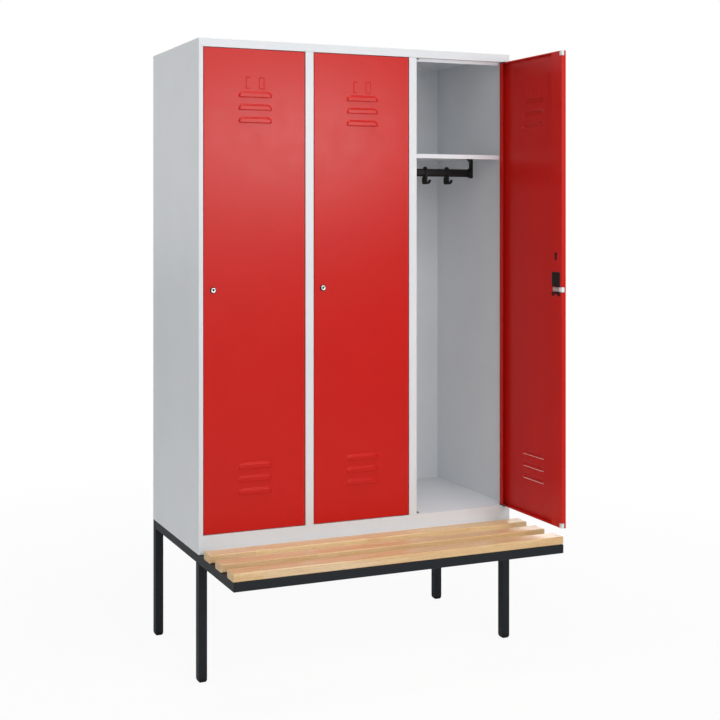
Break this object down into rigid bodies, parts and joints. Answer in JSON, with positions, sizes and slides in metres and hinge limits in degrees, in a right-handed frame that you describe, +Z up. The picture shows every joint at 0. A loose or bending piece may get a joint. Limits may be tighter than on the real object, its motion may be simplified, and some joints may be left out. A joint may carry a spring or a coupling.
{
  "type": "locker with bench",
  "caption": "Steel wardrobe locker with hinged louvred doors, hat shelves, clothes rails with sliding hooks and turning locks, on a tube frame with a slatted wooden bench in front.",
  "frame": {"origin": "floor point below the middle of the locker's box at rest, with the third door open", "axes": "+X to the right as the doors are faced, +Y to the rear, +Z up"},
  "size_m": [1.2, 0.8496, 2.122],
  "materials": {
    "grey_paint": "fine satin powder coat",
    "red_paint": "fine satin powder coat",
    "frame_paint": "matt powder coat",
    "beech": "clear lacquer",
    "black_plastic": "moulded",
    "pale_plastic": "moulded",
    "bright_metal": "polished",
    "bolt_metal": "die cast"
  },
  "bodies": {
    "cabinet": {"side_panel_left": "grey_paint", "side_panel_right": "grey_paint", "partition_left": "grey_paint", "partition_right": "grey_paint", "top_panel": "grey_paint", "floor_panel": "grey_paint", "rear_panel": "grey_paint", "hat_shelf_1": "grey_paint", "hat_shelf_2": "grey_paint", "hat_shelf_3": "grey_paint", "clothes_rail_1": "black_plastic", "clothes_rail_2": "black_plastic", "clothes_rail_3": "black_plastic", "side_bar_left": "frame_paint", "side_bar_right": "frame_paint", "front_bar": "frame_paint", "rear_bar": "frame_paint", "front_leg_left": "frame_paint", "front_leg_right": "frame_paint", "rear_leg_left": "frame_paint", "rear_leg_right": "frame_paint", "foot_cap_front_left": "black_plastic", "foot_cap_front_right": "black_plastic", "foot_cap_rear_left": "black_plastic", "foot_cap_rear_right": "black_plastic", "seat_slat_1": "beech", "seat_slat_2": "beech", "seat_slat_3": "beech"},
    "door_set_1": {"door_1": "red_paint", "lock_case_1": "black_plastic", "hinge_pin_upper_1": "black_plastic", "hinge_pin_lower_1": "black_plastic", "corner_cap_upper_1": "pale_plastic", "corner_cap_lower_1": "pale_plastic"},
    "barrel_1": {"lock_cylinder_1": "bright_metal"},
    "bolt_1": {"lock_bolt_1": "bolt_metal"},
    "hook_1_left": {"coat_hook_1_left": "black_plastic"},
    "hook_1_right": {"coat_hook_1_right": "black_plastic"},
    "door_set_2": {"door_2": "red_paint", "lock_case_2": "black_plastic", "hinge_pin_upper_2": "black_plastic", "hinge_pin_lower_2": "black_plastic", "corner_cap_upper_2": "pale_plastic", "corner_cap_lower_2": "pale_plastic"},
    "barrel_2": {"lock_cylinder_2": "bright_metal"},
    "bolt_2": {"lock_bolt_2": "bolt_metal"},
    "hook_2_left": {"coat_hook_2_left": "black_plastic"},
    "hook_2_right": {"coat_hook_2_right": "black_plastic"},
    "door_set_3": {"door_3": "red_paint", "lock_case_3": "black_plastic", "hinge_pin_upper_3": "black_plastic", "hinge_pin_lower_3": "black_plastic", "corner_cap_upper_3": "pale_plastic", "corner_cap_lower_3": "pale_plastic"},
    "barrel_3": {"lock_cylinder_3": "bright_metal"},
    "bolt_3": {"lock_bolt_3": "bolt_metal"},
    "hook_3_left": {"coat_hook_3_left": "black_plastic"},
    "hook_3_right": {"coat_hook_3_right": "black_plastic"}
  },
  "joints": [
    {"name": "door_1_hinge", "type": "hinge", "parent": "cabinet", "child": "door_set_1", "pos_m": [-0.2243, -0.06615, 1.289], "axis": [0, 0, 1], "range_deg": [0, 90]},
    {"name": "cylinder_1_turn", "type": "hinge", "parent": "door_set_1", "child": "barrel_1", "pos_m": [-0.55, -0.07515, 1.29], "axis": [0, -1, 0], "range_deg": [0, 90]},
    {"name": "bolt_1_slide", "type": "slide", "parent": "door_set_1", "child": "bolt_1", "axis": [-1, 0, 0], "range_m": [0, 0.01]},
    {"name": "hook_1_left_slide", "type": "slide", "parent": "cabinet", "child": "hook_1_left", "axis": [1, 0, 0], "range_m": [-0.08, 0.035]},
    {"name": "hook_1_right_slide", "type": "slide", "parent": "cabinet", "child": "hook_1_right", "axis": [1, 0, 0], "range_m": [-0.035, 0.08]},
    {"name": "door_2_hinge", "type": "hinge", "parent": "cabinet", "child": "door_set_2", "pos_m": [0.1757, -0.06615, 1.289], "axis": [0, 0, 1], "range_deg": [0, 90]},
    {"name": "cylinder_2_turn", "type": "hinge", "parent": "door_set_2", "child": "barrel_2", "pos_m": [-0.15, -0.07515, 1.29], "axis": [0, -1, 0], "range_deg": [0, 90]},
    {"name": "bolt_2_slide", "type": "slide", "parent": "door_set_2", "child": "bolt_2", "axis": [-1, 0, 0], "range_m": [0, 0.01]},
    {"name": "hook_2_left_slide", "type": "slide", "parent": "cabinet", "child": "hook_2_left", "axis": [1, 0, 0], "range_m": [-0.08, 0.035]},
    {"name": "hook_2_right_slide", "type": "slide", "parent": "cabinet", "child": "hook_2_right", "axis": [1, 0, 0], "range_m": [-0.035, 0.08]},
    {"name": "door_3_hinge", "type": "hinge", "parent": "cabinet", "child": "door_set_3", "pos_m": [0.5757, -0.06615, 1.289], "axis": [0, 0, 1], "range_deg": [-90, 0]},
    {"name": "cylinder_3_turn", "type": "hinge", "parent": "door_set_3", "child": "barrel_3", "pos_m": [0.5847, -0.39185, 1.29], "axis": [1, 0, 0], "range_deg": [0, 90]},
    {"name": "bolt_3_slide", "type": "slide", "parent": "door_set_3", "child": "bolt_3", "axis": [0, -1, 0], "range_m": [0, 0.01]},
    {"name": "hook_3_left_slide", "type": "slide", "parent": "cabinet", "child": "hook_3_left", "axis": [1, 0, 0], "range_m": [-0.08, 0.035]},
    {"name": "hook_3_right_slide", "type": "slide", "parent": "cabinet", "child": "hook_3_right", "axis": [1, 0, 0], "range_m": [-0.035, 0.08]}
  ],
  "couplings": [
    {"joint": "bolt_1_slide", "follows": "cylinder_1_turn", "m_per_rad": 0.006366},
    {"joint": "bolt_2_slide", "follows": "cylinder_2_turn", "m_per_rad": 0.006366},
    {"joint": "bolt_3_slide", "follows": "cylinder_3_turn", "m_per_rad": 0.006366}
  ]
}
